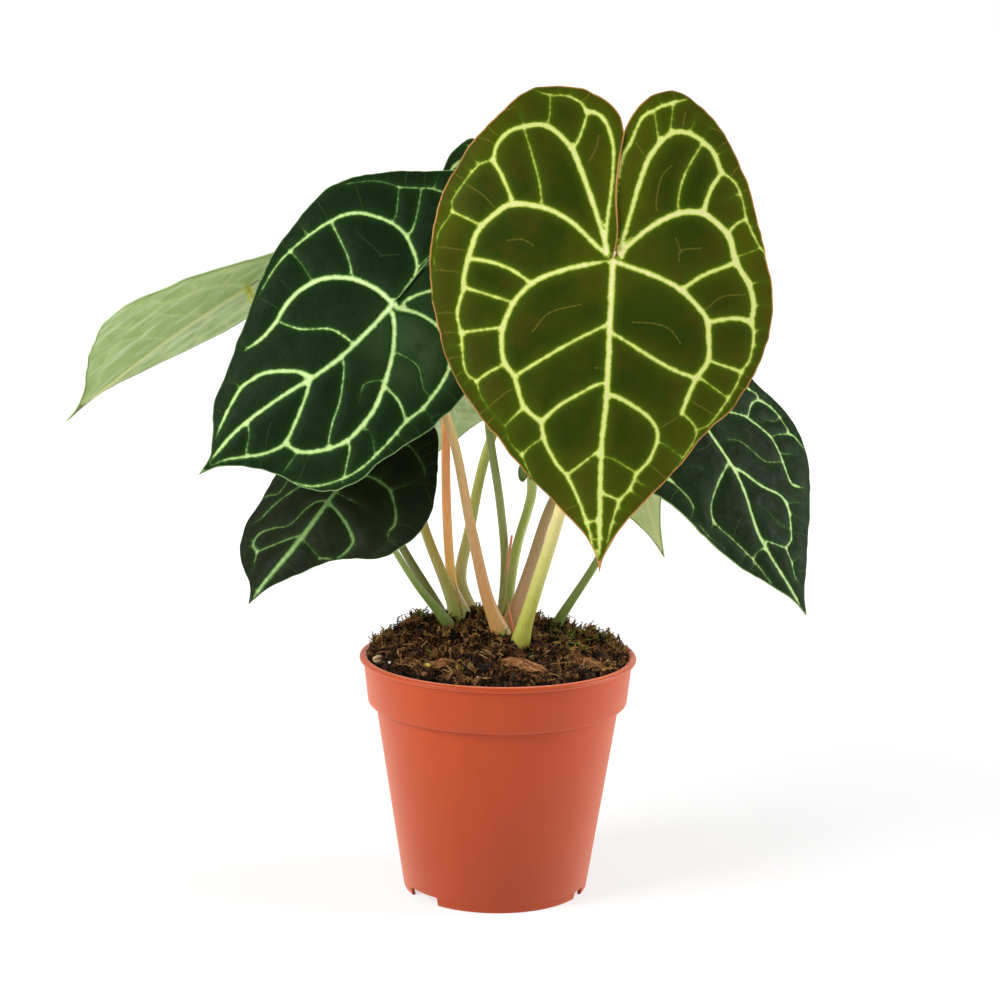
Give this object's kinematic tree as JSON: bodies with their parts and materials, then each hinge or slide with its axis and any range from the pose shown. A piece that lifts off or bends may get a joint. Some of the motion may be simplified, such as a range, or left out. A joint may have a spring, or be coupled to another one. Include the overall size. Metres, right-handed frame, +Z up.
{
  "type": "potted plant",
  "caption": "Potted Anthurium clarinervium: velvety heart-shaped leaves with pale veins on slender petioles, in a terracotta-coloured plastic nursery pot filled with mossy potting mix.",
  "frame": {"origin": "middle of the pot's foot, on the ground", "axes": "+Z up the plant, -Y to the plant's front, +X to its right as seen from the front"},
  "size_m": [0.3288, 0.2266, 0.3476],
  "materials": {
    "pot_plastic": "smooth satin, terracotta orange",
    "potting_mix": "coarse damp peat, coir and moss",
    "petiole_green": "smooth fresh green",
    "petiole_tan": "smooth tan to olive",
    "petiole_salmon": "smooth salmon",
    "sheath_pink": "thin and dry, pinkish",
    "sheath_straw": "thin and dry, straw-coloured",
    "blade_olive": "velvety olive green with cream veins",
    "blade_dark": "velvety dark green with lime veins",
    "blade_pale": "dark green above with pale veins, pale green below"
  },
  "bodies": {
    "root": {"pot": "pot_plastic", "soil": "potting_mix", "petiole_front": "petiole_green", "petiole_left": "petiole_tan", "petiole_far_left": "petiole_green", "petiole_low_left": "petiole_green", "petiole_right": "petiole_green", "petiole_top": "petiole_green", "petiole_back_left": "petiole_green", "petiole_inner": "petiole_green", "petiole_back_right": "petiole_tan", "petiole_back": "petiole_green", "petiole_high_back": "petiole_salmon", "sheath_pink": "sheath_pink", "sheath_straw": "sheath_straw", "blade_front": "blade_olive", "blade_left": "blade_dark", "blade_far_left": "blade_pale", "blade_low_left": "blade_dark", "blade_right": "blade_dark", "blade_top": "blade_dark", "blade_back_left": "blade_pale", "blade_inner": "blade_pale", "blade_back_right": "blade_pale", "blade_back": "blade_pale", "blade_high_back": "blade_pale"}
  },
  "joints": []
}
